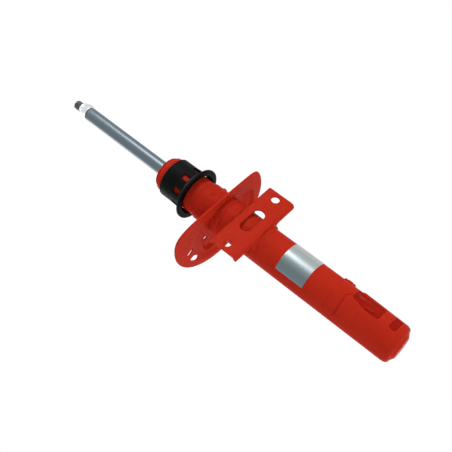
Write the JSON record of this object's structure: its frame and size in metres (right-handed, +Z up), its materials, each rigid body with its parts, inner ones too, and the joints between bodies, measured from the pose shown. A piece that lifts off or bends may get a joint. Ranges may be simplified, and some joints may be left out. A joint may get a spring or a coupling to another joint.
{
  "type": "strut assembly",
  "caption": "Front suspension strut: a red damper tube with an offset stamped spring seat, a link bracket, a black boot carrier and a bright rod with a threaded stud and lock nut.",
  "frame": {"origin": "centre of the flat bottom end", "axes": "+Z up along the rod, towards the stud; -Y towards the front, where the link bracket faces; +X to the right seen from the front"},
  "size_m": [0.177, 0.1258, 0.608],
  "materials": {
    "red_paint": "smooth semi-gloss red paint",
    "black_plastic": "satin black moulding",
    "foil": "satin metallised foil",
    "ground_steel": "ground and polished, satin bright",
    "zinc": "bright zinc plate",
    "blue_nylon": "satin nylon",
    "bare_steel": "drawn or turned, oiled",
    "spring_steel": "tempered strip, fine brushed",
    "sintered_steel": "sintered, fine matte grain",
    "bronze": "sintered bronze, satin",
    "rubber": "matte black rubber",
    "band_plastic": "filled low-friction plastic"
  },
  "bodies": {
    "strut_body": {"strut_tube": "red_paint", "base_cap": "red_paint", "stop_lug": "red_paint", "spring_seat": "red_paint", "seat_weld": "red_paint", "link_bracket": "red_paint", "lower_bracket_weld": "red_paint", "upper_bracket_weld": "red_paint", "rating_label": "foil", "boot_carrier": "black_plastic", "closure_cap": "red_paint", "rod_seal": "rubber", "rod_guide": "sintered_steel", "guide_bush": "bronze", "inner_tube": "bare_steel", "foot_valve_body": "sintered_steel", "foot_valve_shim": "spring_steel", "foot_valve_rivet": "bare_steel"},
    "foot_check": {"foot_check_plate": "spring_steel"},
    "rod": {"piston_rod": "ground_steel", "top_nut": "zinc", "nut_insert": "blue_nylon", "rebound_bumper": "rubber", "rebound_stop": "bare_steel", "piston": "sintered_steel", "piston_band": "band_plastic", "rebound_shim_1": "spring_steel", "rebound_shim_2": "spring_steel", "rebound_shim_3": "spring_steel", "piston_nut": "bare_steel"},
    "piston_check": {"piston_check_plate": "spring_steel"}
  },
  "joints": [
    {"name": "rod_slide", "type": "slide", "parent": "strut_body", "child": "rod", "axis": [0, 0, 1], "range_m": [-0.16, 0], "stiffness_N_per_m": 600, "springref_m": 0.25},
    {"name": "piston_check_lift", "type": "slide", "parent": "rod", "child": "piston_check", "axis": [0, 0, 1], "range_m": [0, 0.001], "stiffness_N_per_m": 300, "springref_m": -0.001},
    {"name": "foot_check_lift", "type": "slide", "parent": "strut_body", "child": "foot_check", "axis": [0, 0, 1], "range_m": [0, 0.001], "stiffness_N_per_m": 300, "springref_m": -0.001}
  ]
}
